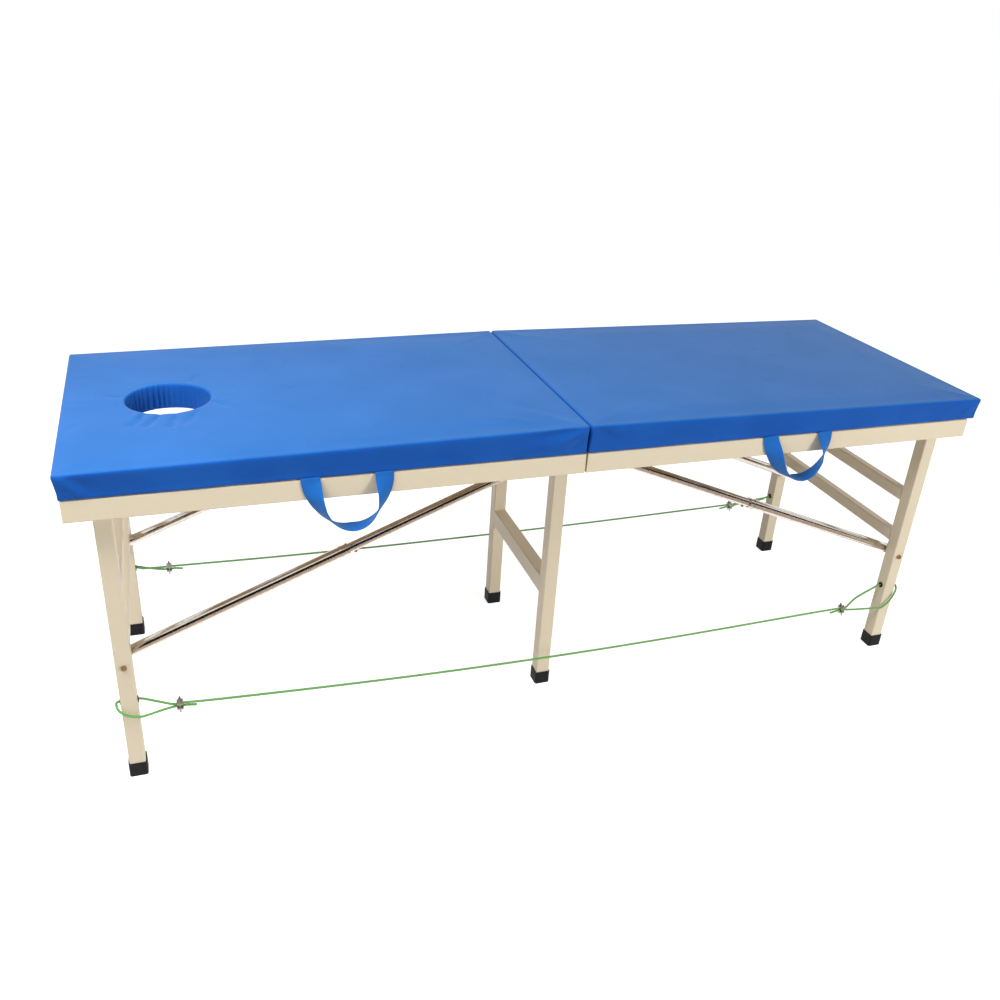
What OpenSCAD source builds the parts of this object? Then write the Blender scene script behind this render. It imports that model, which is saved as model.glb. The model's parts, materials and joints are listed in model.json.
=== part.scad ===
// Folding massage table on a steel frame, standing open.
// X runs along the table, Y across it and Z up. The floor is at z = 0 and the seam at x = 0.
// The half with the face hole is the left one, towards -X, and the near side is towards -Y.

/* [Table] */
// Length of the padded top from end to end
table_l = 1850; // [1820:10:1960]
// Width of the padded top at its widest line
table_w = 600; // [580:10:700]
// Height of the padded top above the floor
table_h = 670; // [640:5:740]
// Gap between the two pads
seam_gap = 4; // [3:0.5:8]

/* [Pads] */
// Thickness of a pad at the top of its crown
pad_t = 52; // [46:1:66]
// Thickness of the cover's cloth
cover_t = 1.5; // [1:0.1:2.2]
// Thickness of the plywood board
board_t = 9; // [6:1:12]
// How far the underside lies inside the widest line
side_draw = 6; // [3:1:9]
// Radius of the rounded top edge
top_edge_r = 14; // [8:1:18]
// Radius of a pad's corners, seen from above
corner_r = 14; // [12:1:30]
// Rise of the crown above the top edge
crown_rise = 3; // [1:0.5:6]
// Width of the cloth turned under the board
hem_w = 28; // [27:1:40]

/* [Face hole] */
// Distance of the face hole's middle from the end of the table
face_hole_inset = 187; // [170:1:240]
// Width of the face hole inside its lining
face_hole_d = 160; // [130:1:180]
// Thickness of the lining
lining_t = 1.5; // [1:0.1:2.5]

/* [Frame] */
// Height of a side rail
rail_h = 40; // [34:1:42]
// Width of a side rail
rail_w = 25; // [20:1:28]
// Wall of the square and oblong tubes
tube_wall = 1.5; // [1.2:0.1:2]
// Outer radius of the tubes' corners
tube_corner_r = 2.5; // [2.1:0.1:4]
// How far a rail's outer face lies inside the pad's widest line
rail_inset = 6; // [4:1:10]
// Distance of the left rails' ends from the end of the table
left_rail_inset = 7; // [6:1:12]
// Distance of the right rails' ends from the end of the table
right_rail_inset = 18; // [14:1:19]
// Width and height of the cross tubes under the board
bar_w = 20; // [16:1:22]
// Thickness of the welded lugs
lug_t = 4; // [3:0.5:5]

/* [Legs] */
// Width of a leg's square tube
leg_w = 30; // [26:1:32]
// Gap between a side rail and the end leg beside it
end_leg_gap = 13; // [12:1:26]
// Distance of an end leg's middle from the end of the table
end_leg_inset = 63; // [58:1:66]
// How much nearer the middle a centre leg stands than an end leg
centre_step = 71; // [70:1:83]
// Height of an end frame's crossbar
crossbar_h = 28; // [24:1:34]
// Depth of an end frame's crossbar
crossbar_t = 20; // [16:1:22]
// Height of the centre frame's crossbar
centre_bar_h = 40; // [32:1:44]
// Distance between the middles of the two crossbars of an end frame
crossbar_pitch = 106; // [90:1:120]
// Height of the centre crossbar's middle above the floor
centre_bar_z = 248; // [200:2:320]
// Wall of a foot cap
cap_wall = 2; // [1.5:0.1:2.2]
// Height of a foot cap
cap_h = 30; // [20:1:40]
// Thickness of a foot cap's sole
cap_sole = 4; // [3:0.5:6]

/* [Struts] */
// Distance from the leg's pivot down to the strut's bolt
strut_drop = 344; // [336:1:352]
// Outer diameter of the strut's outer tube
outer_d = 22; // [20:0.5:24]
// Wall of the strut's tubes
strut_wall = 1.4; // [1:0.1:1.6]
// Length of the inner tube that stays in the outer one when the table stands
strut_lap = 30; // [26:1:32]
// Diameter of the snap button
button_d = 7; // [5:0.5:8]
// How far the snap button stands out of its tube
button_out = 3.5; // [2:0.5:4.5]

/* [Fasteners] */
// Diameter of the legs' pivot bolts
pivot_d = 8; // [6:1:10]
// Diameter of the strut bolts
strut_bolt_d = 6; // [5:1:8]
// Diameter of the board's screws
screw_d = 4; // [3:0.5:5]

/* [Handles] */
// Width of a handle's strap
strap_w = 34; // [28:1:40]
// Thickness of a handle's strap
strap_t = 3; // [2:0.5:4]
// Distance between the middles of a strap's two ends
strap_pitch = 130; // [110:2:150]
// How far a strap hangs below the pad
strap_drop = 109; // [90:1:125]
// Distance of the left handle's middle from the seam
left_handle_s = 456; // [300:2:620]
// Distance of the right handle's middle from the seam
right_handle_s = 469; // [300:2:620]

/* [Ropes] */
// Diameter of the ropes that tie the end frames together
rope_d = 5; // [4:0.5:6]
// Width of a rope clip along the rope
clip_w = 12; // [8:1:16]

/* [Hidden] */

// Clearances
cut = 1;
bore_fit = 0.05;
slide_fit = 0.08;
soft_fit = 0.3;
side_fit = 1.5;
fold_fit = 4;
stack_fit = 2;

// Colours
blue_cloth = [0.16, 0.36, 0.72];
cream_paint = [0.87, 0.82, 0.70];
black_rubber = [0.08, 0.08, 0.08];
bright_steel = [0.75, 0.75, 0.75];
foam_white = [0.93, 0.91, 0.84];
plywood = [0.76, 0.60, 0.40];
green_rope = [0.20, 0.42, 0.30];

// Pads
pad_z = table_h - pad_t;
pad_l = (table_l - seam_gap) / 2;
pad_s = (table_l + seam_gap) / 4;
edge_z = pad_t - crown_rise - top_edge_r;
board_z = cover_t;
foam_z = cover_t + board_t;
corner_least_r = 2;
corner_steps = 4;
side_steps = 3;
edge_steps = 4;
draw_power = 1.5;
crown_shares = [[0.1, 0.45], [0.35, 0.85], [0.97, 1]];
face_hole_s = table_l / 2 - face_hole_inset;
lining_r = face_hole_d / 2 + lining_t;

// Frame
rail_y = table_w / 2 - rail_inset;
rail_in_y = rail_y - rail_w;
rail_z = pad_z - rail_h;
seam_s = seam_gap / 2;
left_rail_s = table_l / 2 - left_rail_inset;
right_rail_s = table_l / 2 - right_rail_inset;
end_bar_s = right_rail_s - bar_w;
bar_z = pad_z - bar_w;
plug_depth = 12;
plug_lip = 2;

// End legs
leg_s = table_l / 2 - end_leg_inset;
leg_y = rail_in_y - end_leg_gap - leg_w / 2;
pivot_z = pad_z - leg_w / 2 - fold_fit;
leg_over = leg_w / 3;
strut_z = pivot_z - strut_drop;
lower_bar_rise = crossbar_h + leg_w * 3 / 5;
lower_bar_z = strut_z + lower_bar_rise;
upper_bar_z = lower_bar_z + crossbar_pitch;
lug_r = 12;

// Centre legs and seam hinges
centre_y = leg_y - centre_step;
cap_half = leg_w / 2 + cap_wall;
seam_z = pivot_z + leg_w / 2 - crossbar_t - stack_fit - cap_half;
eye_r = 10;
inner_hinge_y = centre_y + leg_w / 2 + side_fit;
inner_hinge_in_y = centre_y - leg_w / 2 - side_fit - lug_t;
outer_hinge_y = rail_in_y - lug_t * 2 - eye_r;
outer_hinge_in_y = outer_hinge_y - lug_t - side_fit / 2;

// Struts
inner_d = outer_d - 2 * strut_wall - 2 * slide_fit;
strut_y = leg_y - cap_half - side_fit - outer_d / 2;
strut_end_s = seam_s + bar_w + inner_d / 2 + fold_fit;
strut_end_z = bar_z - inner_d / 2 - bore_fit * 10;
strut_run = leg_s - strut_end_s;
strut_rise = strut_end_z - strut_z;
strut_open_l = sqrt(strut_run * strut_run + strut_rise * strut_rise);
strut_angle = atan2(strut_rise, strut_run);
outer_share = 0.51;
outer_l = strut_open_l * outer_share;
inner_l = strut_open_l - outer_l + strut_lap;
tab_t = 6;
tab_l = 12;
collar_rise = 1;
collar_w = 5;
collar_pitch = 13;
button_s = outer_l + button_d + collar_w / 2;
leaf_t = 0.6;
leaf_w = 6;
leaf_l = 22;

// Fasteners
head_share = 1.7;
head_t_share = 0.65;
screw_bite = 6;
screw_head_share = 2.2;
screw_head_t = 2.5;
screw_hole_fit = 1;
hem_hole_sides = 6;

// Handles
strap_top_gap = 0.3;
strap_back_gap = 0.3;
strap_steps = 24;
strap_flat_angle = 24;
strap_in = 13.5;

// Ropes: routes along hand-chosen points, x, y, z
rope_sides = 8;
clip_fit = 0.1;
strand_pitch = rope_d + 1.4;
grommet_lip = 4;
grommet_t = 1.5;
near_hole_z = 170;
far_hole_z = 172;
near_route = [
  [-768, 145], [-720, 141], [-620, 135], [-500, 128.5], [-370, 122.5], [-230, 117.5],
  [-80, 114], [80, 112], [240, 112], [400, 113.5], [550, 116], [670, 118], [740, 118.5]
];
far_route = [
  [-769, 166], [-690, 163.5], [-560, 159.5], [-420, 156.5], [-260, 154], [-90, 153],
  [80, 152.5], [240, 153], [400, 154.5], [540, 156.5], [650, 158], [711, 159]
];

function unit(v) = v / norm(v);

// Points of a rectangle with round corners, counter-clockwise from above
function round_outline(half_x, half_y, r) = [
  for (q = [0:3], i = [0:corner_steps])
    let (
      angle = (q + i / corner_steps) * 90,
      side_x = q == 0 || q == 3 ? 1 : -1,
      side_y = q < 2 ? 1 : -1
    )
    [side_x * (half_x - r) + r * cos(angle), side_y * (half_y - r) + r * sin(angle)]
];

// Inset of a pad's side at a height above its underside
function side_inset(z) = side_draw * pow(max(0, 1 - z / edge_z), draw_power);

// Inset and height of each ring of a pad's form that lies depth under its skin
function pad_levels(depth, base) = [
  for (i = [0:side_steps])
    let (z = base + (edge_z - base) * i / side_steps)
    [side_inset(z) + depth, z],
  for (i = [1:edge_steps])
    let (angle = 90 * i / edge_steps)
    [
      top_edge_r - (top_edge_r - depth) * cos(angle),
      edge_z + (top_edge_r - depth) * sin(angle)
    ],
  for (share = crown_shares)
    [
      top_edge_r + (table_w / 2 - top_edge_r) * share[0],
      pad_t - crown_rise + crown_rise * share[1] - depth
    ]
];

// Closes a stack of rings, each counter-clockwise round the way it goes
module skin(rings) {
  n = len(rings[0]);
  last = (len(rings) - 1) * n;
  polyhedron(
    points = [for (ring = rings) for (p = ring) p],
    faces = [
      for (i = [1:n - 2]) [0, i, i + 1],
      for (k = [0:len(rings) - 2], i = [0:n - 1])
        let (a = k * n + i, b = k * n + (i + 1) % n)
        each [[a, a + n, b + n], [a, b + n, b]],
      for (i = [1:n - 2]) [last, last + i + 1, last + i]
    ],
    convexity = 8
  );
}

module pad_form(depth, base) {
  translate([pad_s, 0, pad_z])
    skin([
      for (level = pad_levels(depth, base))
        let (r = max(corner_r - level[0], corner_least_r))
        [
          for (p = round_outline(pad_l / 2 - level[0], table_w / 2 - level[0], r))
            [p[0], p[1], level[1]]
        ]
    ]);
}

module round_rect(w, h, r) {
  square([w - 2 * r, h], center = true);
  square([w, h - 2 * r], center = true);
  for (x = [-1, 1], y = [-1, 1])
    translate([x * (w / 2 - r), y * (h / 2 - r)])
      circle(r, $fn = 24);
}

// Flat plate of a pad's outline, drawn in by inset
module pad_plate(inset, z, t) {
  translate([pad_s, 0, pad_z + z])
    linear_extrude(t)
      round_rect(
        pad_l - 2 * inset,
        table_w - 2 * inset,
        max(corner_r - inset, corner_least_r)
      );
}

// Oblong tube along Z, from z = 0
module box_tube(w, h, l) {
  linear_extrude(l)
    difference() {
      round_rect(w, h, tube_corner_r);
      round_rect(w - 2 * tube_wall, h - 2 * tube_wall, tube_corner_r - tube_wall);
    }
}

// Extrudes a drawing in x and z from y = y0 to y = y0 + t
module along_y(y0, t) {
  translate([0, y0 + t, 0])
    rotate([90, 0, 0])
      linear_extrude(t)
        children();
}

// Round rod along Y
module rod_y(s, z, y0, l, r, sides = 32) {
  translate([s, y0 + l, z])
    rotate([90, 0, 0])
      cylinder(h = l, r = r, $fn = sides);
}

// Bolt along Y with a round head outside and a nut inside
module bolt_y(s, z, y0, y1, d) {
  head_t = d * head_t_share;
  rod_y(s, z, y0 - head_t, y1 - y0 + 2 * head_t, d / 2);
  rod_y(s, z, y1, head_t, d * head_share / 2);
  rod_y(s, z, y0 - head_t, head_t, d * head_share / 2, 6);
}

// Lug in x and z that reaches from a bar's underside to a round eye
module lug(eye_s, eye_z, r, foot_s, foot_w, foot_z, bore_d) {
  middle = [foot_s + foot_w / 2, foot_z];
  way = unit(middle - [eye_s, eye_z]);
  across = [-way[1], way[0]] * r;
  difference() {
    union() {
      translate([eye_s, eye_z])
        circle(r, $fn = 48);
      polygon([
        [foot_s, foot_z],
        [foot_s + foot_w, foot_z],
        [eye_s, eye_z] - across,
        [eye_s, eye_z] + across
      ]);
    }
    translate([eye_s, eye_z])
      circle(bore_d / 2 + bore_fit, $fn = 32);
  }
}

// Places what is drawn for the right half or the far side
module on_left() mirror([1, 0, 0]) children();
module on_near() mirror([0, 1, 0]) children();
module both_sides() {
  children();
  on_near() children();
}

// Places of the board's screws, s and y
function screw_places() = [
  [end_bar_s + bar_w / 2, rail_in_y / 2],
  [end_bar_s + bar_w / 2, -rail_in_y / 2],
  [seam_s + bar_w / 2, inner_hinge_in_y / 2],
  [seam_s + bar_w / 2, -inner_hinge_in_y / 2],
  [table_l / 4, rail_y - rail_w / 2],
  [table_l / 4, rail_w / 2 - rail_y]
];
function screw_foot(place) = abs(place[1]) > rail_in_y ? rail_z : bar_z;

module screw_holes(r, sides) {
  for (place = screw_places())
    translate([place[0], place[1], rail_z - cut])
      cylinder(h = rail_h + cover_t + screw_bite + cut, r = r, $fn = sides);
}

module face_hole() {
  translate([face_hole_s, 0, pad_z - cut])
    cylinder(h = pad_t + 2 * cut, r = lining_r + soft_fit, $fn = 64);
}

module cover(with_hole) {
  color(blue_cloth)
    difference() {
      pad_form(0, 0);
      pad_form(cover_t, cover_t);
      pad_plate(side_draw + hem_w, -cut, cover_t + 2 * cut);
      screw_holes(screw_d / 2 + screw_hole_fit, hem_hole_sides);
      if (with_hole) face_hole();
    }
}

module foam(with_hole) {
  color(foam_white)
    difference() {
      pad_form(cover_t + soft_fit, foam_z);
      if (with_hole) face_hole();
    }
}

module board(with_hole) {
  color(plywood)
    difference() {
      pad_plate(side_draw + cover_t + soft_fit, board_z, board_t);
      screw_holes(screw_d / 2 + bore_fit, 24);
      if (with_hole) face_hole();
    }
}

// Lining of the face hole, from the board's underside up to the cover
module lining() {
  color(blue_cloth)
    on_left()
      translate([face_hole_s, 0, pad_z + cover_t])
        difference() {
          cylinder(h = pad_t - cover_t - crown_rise, r = lining_r, $fn = 96);
          translate([0, 0, -cut])
            cylinder(h = pad_t + 2 * cut, r = lining_r - lining_t, $fn = 96);
        }
}

module rail(end_s) {
  color(cream_paint)
    difference() {
      translate([seam_s, rail_y - rail_w / 2, pad_z - rail_h / 2])
        rotate([0, 90, 0])
          box_tube(rail_h, rail_w, end_s - seam_s);
      screw_holes(screw_d / 2 + bore_fit, 24);
    }
}

// Plugs in the four open ends of a half's rails
module rail_plugs(end_s) {
  color(black_rubber)
    both_sides()
      for (place = [[seam_s, 1], [end_s, -1]])
        translate([place[0], rail_y - rail_w / 2, pad_z - rail_h / 2])
          rotate([0, 90 * place[1], 0])
            translate([0, 0, plug_lip / 2])
              linear_extrude(plug_depth)
                round_rect(
                  rail_h - 2 * tube_wall,
                  rail_w - 2 * tube_wall,
                  tube_corner_r - tube_wall
                );
}

// Cross tube at the outer end, with the lugs that carry the legs
module end_bar() {
  color(cream_paint)
    difference() {
      union() {
        translate([end_bar_s + bar_w / 2, rail_in_y, bar_z + bar_w / 2])
          rotate([90, 0, 0])
            box_tube(bar_w, bar_w, 2 * rail_in_y);
        both_sides()
          for (y = [leg_y + leg_w / 2 + soft_fit, leg_y - leg_w / 2 - soft_fit - lug_t])
            along_y(y, lug_t)
              leg_lug();
      }
      screw_holes(screw_d / 2 + bore_fit, 24);
    }
}

// Lug that reaches from the end bar's inner side to the leg's pivot. Lugs and plates run into
// the wall of their tube by its thickness, as a weld does.
module leg_lug() {
  difference() {
    union() {
      translate([leg_s, pivot_z])
        circle(lug_r, $fn = 48);
      translate([leg_s, pivot_z - lug_r])
        square([end_bar_s + tube_wall - leg_s, 2 * lug_r]);
    }
    translate([leg_s, pivot_z])
      circle(pivot_d / 2 + bore_fit, $fn = 32);
  }
}

// Cross tube at the seam, with the seam hinges' lugs and the struts' clevises
module seam_bar(inner_lug_y, outer_lug_y) {
  color(cream_paint)
    difference() {
      union() {
        translate([seam_s + bar_w / 2, rail_in_y, bar_z + bar_w / 2])
          rotate([90, 0, 0])
            box_tube(bar_w, bar_w, 2 * rail_in_y);
        both_sides() {
          for (y = [inner_lug_y, outer_lug_y])
            along_y(y, lug_t)
              lug(0, seam_z, eye_r, seam_s, bar_w, bar_z + tube_wall, pivot_d);
          for (y = clevis_ys())
            along_y(y, lug_t)
              clevis_plate();
        }
      }
      screw_holes(screw_d / 2 + bore_fit, 24);
    }
}

function clevis_ys() = [
  strut_y - inner_d / 2 - side_fit - lug_t,
  strut_y + inner_d / 2 + side_fit
];

module clevis_plate() {
  difference() {
    union() {
      translate([strut_end_s, strut_end_z])
        circle(eye_r, $fn = 48);
      translate([seam_s + bar_w - tube_wall, strut_end_z - eye_r])
        square([
          strut_end_s - seam_s - bar_w + tube_wall,
          bar_z + bar_w - tube_corner_r - strut_end_z + eye_r
        ]);
    }
    translate([strut_end_s, strut_end_z])
      circle(strut_bolt_d / 2 + bore_fit, $fn = 32);
  }
}

// Screws into the board, and the stub rivets on which the struts' upper ends turn
module frame_screws() {
  color(bright_steel) {
    for (place = screw_places()) {
      foot = screw_foot(place);
      translate([place[0], place[1], foot])
        cylinder(h = pad_z - foot + cover_t + screw_bite, d = screw_d, $fn = 24);
      translate([place[0], place[1], foot - screw_head_t])
        cylinder(h = screw_head_t, d = screw_d * screw_head_share, $fn = 24);
    }
    both_sides()
      for (y = clevis_ys()) {
        outside = y > strut_y;
        rod_y(strut_end_s, strut_end_z, y, lug_t, strut_bolt_d / 2);
        rod_y(
          strut_end_s, strut_end_z, outside ? y + lug_t : y - screw_head_t, screw_head_t,
          strut_bolt_d * head_share / 2
        );
      }
  }
}

// Bolts on which the two end legs swing
module pivot_bolts() {
  color(bright_steel)
    both_sides()
      bolt_y(
        leg_s, pivot_z,
        leg_y - leg_w / 2 - soft_fit - lug_t,
        leg_y + leg_w / 2 + soft_fit + lug_t,
        pivot_d
      );
}

// Two long bolts through the centre legs and two short ones beside the rails
module seam_bolts() {
  color(bright_steel)
    both_sides() {
      bolt_y(0, seam_z, inner_hinge_in_y, inner_hinge_y + lug_t, pivot_d);
      bolt_y(0, seam_z, outer_hinge_in_y, outer_hinge_y + lug_t, pivot_d);
    }
}

// Strap that hangs in a loop under the near rail, its lower part turned level
module handle(middle_s) {
  outer_y = rail_y + strap_back_gap + strap_t / 2;
  function turn(angle) =
    let (t = min(1, max(0, (min(angle, 180 - angle) - strap_flat_angle) / (90 - strap_flat_angle))))
    90 * t * t * (3 - 2 * t);
  function centre(angle) = [
    middle_s - strap_pitch / 2 * cos(angle),
    strap_in * sin(turn(angle)) - outer_y,
    pad_z - strap_top_gap - (strap_drop - strap_top_gap - strap_t / 2) * sin(angle)
  ];
  color(blue_cloth)
    skin([
      for (i = [0:strap_steps])
        let (
          angle = 180 * i / strap_steps,
          way = unit([
            strap_pitch / 2 * sin(angle), 0, -(strap_drop - strap_t / 2) * cos(angle)
          ]),
          outward = [way[2], 0, -way[0]],
          face = [0, -cos(turn(angle)), 0] + outward * sin(turn(angle)),
          across = cross(way, face)
        )
        [
          for (corner = [[1, 1], [-1, 1], [-1, -1], [1, -1]])
            centre(angle) + face * corner[0] * strap_t / 2 + across * corner[1] * strap_w / 2
        ]
    ]);
}

// End leg: a square tube with bores for its pivot, its strut and its rope
module end_leg(hole_z) {
  color(cream_paint)
    difference() {
      translate([leg_s, leg_y, cap_sole])
        box_tube(leg_w, leg_w, pivot_z + leg_over - cap_sole);
      rod_y(leg_s, pivot_z, leg_y - leg_w, 2 * leg_w, pivot_d / 2 + bore_fit);
      rod_y(leg_s, strut_z, leg_y - leg_w, 2 * leg_w, strut_bolt_d / 2 + bore_fit);
      translate([leg_s - leg_w, leg_y, hole_z])
        rotate([0, 90, 0])
          cylinder(h = 2 * leg_w, d = rope_d + grommet_lip, $fn = 32);
    }
}

module end_crossbar(z) {
  color(cream_paint)
    translate([leg_s - leg_w / 2 + crossbar_t / 2, leg_y - leg_w / 2, z])
      rotate([90, 0, 0])
        box_tube(crossbar_t, crossbar_h, 2 * leg_y - leg_w);
}

// Rubber cups on the feet of a pair of legs
module leg_caps(s, y) {
  color(black_rubber)
    both_sides()
      translate([s, y, 0])
        difference() {
          linear_extrude(cap_h)
            round_rect(2 * cap_half, 2 * cap_half, tube_corner_r + cap_wall);
          translate([0, 0, cap_sole])
            linear_extrude(cap_h)
              round_rect(leg_w + 2 * bore_fit, leg_w + 2 * bore_fit, tube_corner_r + bore_fit);
        }
}

// Bolts through the legs that carry the struts, each with its spacer
module strut_bolts() {
  tab_y = strut_y + tab_t / 2;
  leg_in_y = leg_y - leg_w / 2;
  color(bright_steel)
    both_sides() {
      bolt_y(leg_s, strut_z, strut_y - tab_t / 2 - bore_fit, leg_y + leg_w / 2, strut_bolt_d);
      difference() {
        rod_y(leg_s, strut_z, tab_y + bore_fit, leg_in_y - tab_y - bore_fit, strut_bolt_d);
        rod_y(leg_s, strut_z, tab_y - cut, leg_in_y - tab_y + 2 * cut, strut_bolt_d / 2);
      }
    }
}

// Grommets where the ropes go through the legs
module rope_grommets() {
  color(black_rubber)
    for (leg = [[-1, near_hole_z], [1, far_hole_z]], way = [-1, 1])
      translate([leg_s + way * leg_w / 2, leg[0] * leg_y, leg[1]])
        rotate([0, 90 * way, 0])
          difference() {
            union() {
              translate([0, 0, -tube_wall])
                cylinder(h = tube_wall + grommet_t, d = rope_d + grommet_lip, $fn = 32);
              cylinder(h = grommet_t, d = rope_d + 2 * grommet_lip, $fn = 32);
            }
            translate([0, 0, -tube_wall - cut])
              cylinder(h = leg_w, d = rope_d + 2 * soft_fit, $fn = 32);
          }
}

module centre_leg() {
  color(cream_paint)
    difference() {
      translate([0, centre_y, cap_sole])
        box_tube(leg_w, leg_w, seam_z + leg_over - cap_sole);
      rod_y(0, seam_z, centre_y - leg_w, 2 * leg_w, pivot_d / 2 + bore_fit);
    }
}

module centre_crossbar() {
  color(cream_paint)
    translate([0, centre_y - leg_w / 2, centre_bar_z])
      rotate([90, 0, 0])
        box_tube(leg_w, centre_bar_h, 2 * centre_y - leg_w);
}

// Draws along a strut, from its bolt at x = 0 towards the seam
module along_strut() {
  translate([leg_s, strut_y, strut_z])
    rotate([0, strut_angle - 180, 0])
      children();
}

module rod_x(x0, l, r, sides = 48) {
  translate([x0, 0, 0])
    rotate([0, 90, 0])
      cylinder(h = l, r = r, $fn = sides);
}

// Outer tube: a flat tab on the bolt, a round tube and the pressed rings at its mouth
module strut_outer() {
  color(bright_steel)
    along_strut()
      difference() {
        union() {
          along_y(-tab_t / 2, tab_t) {
            circle(outer_d / 2, $fn = 48);
            translate([0, -outer_d / 2])
              square([tab_l, outer_d]);
          }
          rod_x(tab_l - strut_wall, outer_l - tab_l + strut_wall, outer_d / 2);
          for (x = [outer_l - collar_w, outer_l - collar_w - collar_pitch])
            rod_x(x, collar_w, outer_d / 2 + collar_rise);
        }
        rod_y(0, 0, -outer_d / 2, outer_d, strut_bolt_d / 2 + bore_fit);
        rod_x(tab_l, outer_l, outer_d / 2 - strut_wall);
      }
}

// Inner tube, with the button's hole in its underside
module strut_inner() {
  color(bright_steel)
    along_strut()
      difference() {
        union() {
          rod_x(strut_open_l - inner_l, inner_l, inner_d / 2);
          rod_y(strut_open_l, 0, -inner_d / 4, inner_d / 2, inner_d / 2);
        }
        rod_x(
          strut_open_l - inner_l - cut, inner_l + cut - inner_d / 2, inner_d / 2 - strut_wall
        );
        rod_y(strut_open_l, 0, -inner_d, 2 * inner_d, strut_bolt_d / 2 + bore_fit);
        translate([button_s, 0, 0])
          cylinder(h = inner_d, d = button_d + 2 * slide_fit, $fn = 32);
      }
}

// Snap button on a leaf bent back on itself inside the inner tube
module snap_button() {
  leaf_r = inner_d / 2 - strut_wall - bore_fit;
  // The leaf lies on flats, where the round bore is narrower than across its middle
  flat_r = sqrt(leaf_r * leaf_r - leaf_w * leaf_w / 4);
  color(bright_steel)
    along_strut() {
      translate([button_s, 0, flat_r - leaf_t])
        cylinder(h = inner_d / 2 + button_out - flat_r + leaf_t, d = button_d, $fn = 32);
      along_y(-leaf_w / 2, leaf_w)
        difference() {
          union() {
            translate([button_s - button_d / 2, -flat_r])
              square([leaf_l + button_d / 2, 2 * flat_r]);
            translate([button_s + leaf_l, 0])
              circle(flat_r, $fn = 48);
          }
          translate([button_s - button_d, leaf_t - flat_r])
            square([leaf_l + button_d, 2 * (flat_r - leaf_t)]);
          translate([button_s + leaf_l, 0])
            circle(flat_r - leaf_t, $fn = 48);
        }
    }
}

// Rope: from its left tail through the left clip, round the left leg and back through the
// clip, along the table, and the same at the right end
module rope(route, y, hole_z) {
  far = y > 0 ? 1 : -1;
  first = route[0];
  last = route[len(route) - 1];
  wrap_y = leg_w / 2 + rope_d;
  function loop(clip, way) = [
    [clip[0] - way * 24, y, clip[1] - strand_pitch - 3],
    [clip[0] - way * 12, y, clip[1] - strand_pitch - 1],
    [clip[0] - way * 4, y, clip[1] - strand_pitch],
    [clip[0] + way * (clip_w + 4), y, clip[1] - strand_pitch],
    [clip[0] + way * 38, y + far * 6, clip[1] - strand_pitch + 1],
    [way * (leg_s - 32), y + far * 15, clip[1] - 4],
    [way * (leg_s - 15), y + far * wrap_y, clip[1] - 2],
    [way * (leg_s + 6), y + far * (wrap_y + 1), (clip[1] + hole_z) / 2 - 6],
    [way * (leg_s + 19), y + far * 16, hole_z - 9],
    [way * (leg_s + 23), y + far * 6, hole_z - 2],
    [way * (leg_s + 20), y, hole_z],
    [way * (leg_s + 8), y, hole_z],
    [way * (leg_s - 18), y, hole_z],
    [way * (leg_s - 30), y, hole_z - 4],
    [clip[0] + way * 42, y, (clip[1] + hole_z) / 2 - 2],
    [clip[0] + way * (clip_w + 6), y, clip[1]]
  ];
  left_loop = loop(first, -1);
  right_loop = loop(last, 1);
  points = [
    each left_loop,
    for (p = route) [p[0], y, p[1]],
    for (i = [len(right_loop) - 1:-1:0]) right_loop[i]
  ];
  count = len(points);
  color(green_rope)
    skin([
      for (i = [0:count - 1])
        let (
          way = unit(points[min(i + 1, count - 1)] - points[max(i - 1, 0)]),
          side = unit(cross([0, 0, 1], way)),
          up = cross(way, side)
        )
        [
          for (k = [0:rope_sides - 1])
            let (angle = (k + 0.5) * 360 / rope_sides)
            points[i] + (side * cos(angle) + up * sin(angle)) * rope_d / 2
        ]
    ]);
}

// Clip that clamps a rope's end to the rope: a grooved saddle, a bow and two nuts
module rope_clip(clip, way, y) {
  bore_r = rope_d / 2 + clip_fit;
  wall = 2;
  bow_d = 3;
  body_w = rope_d + 2 * bow_d + 2 * wall;
  body_h = strand_pitch + rope_d + 2 * wall;
  nut_t = 3;
  stud_l = 7;
  translate([clip[0] + way * clip_w / 2, y, clip[1] - strand_pitch / 2])
    difference() {
      union() {
        cube([clip_w, body_w, body_h], center = true);
        for (side = [-1, 1])
          translate([0, side * (rope_d / 2 + bow_d / 2 + wall / 2), 0]) {
            translate([0, 0, body_h / 2])
              cylinder(h = stud_l, d = bow_d, $fn = 24);
            translate([0, 0, body_h / 2])
              cylinder(h = nut_t, d = bow_d * 2, $fn = 6);
          }
      }
      for (z = [-strand_pitch / 2, strand_pitch / 2])
        translate([-clip_w, 0, z])
          rotate([0, 90, 0])
            cylinder(h = 2 * clip_w, r = bore_r, $fn = 32);
    }
}

module rope_clips() {
  color(bright_steel)
    for (rope = [[near_route, -leg_y], [far_route, leg_y]]) {
      rope_clip(rope[0][0], -1, rope[1]);
      rope_clip(rope[0][len(rope[0]) - 1], 1, rope[1]);
    }
}

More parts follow.
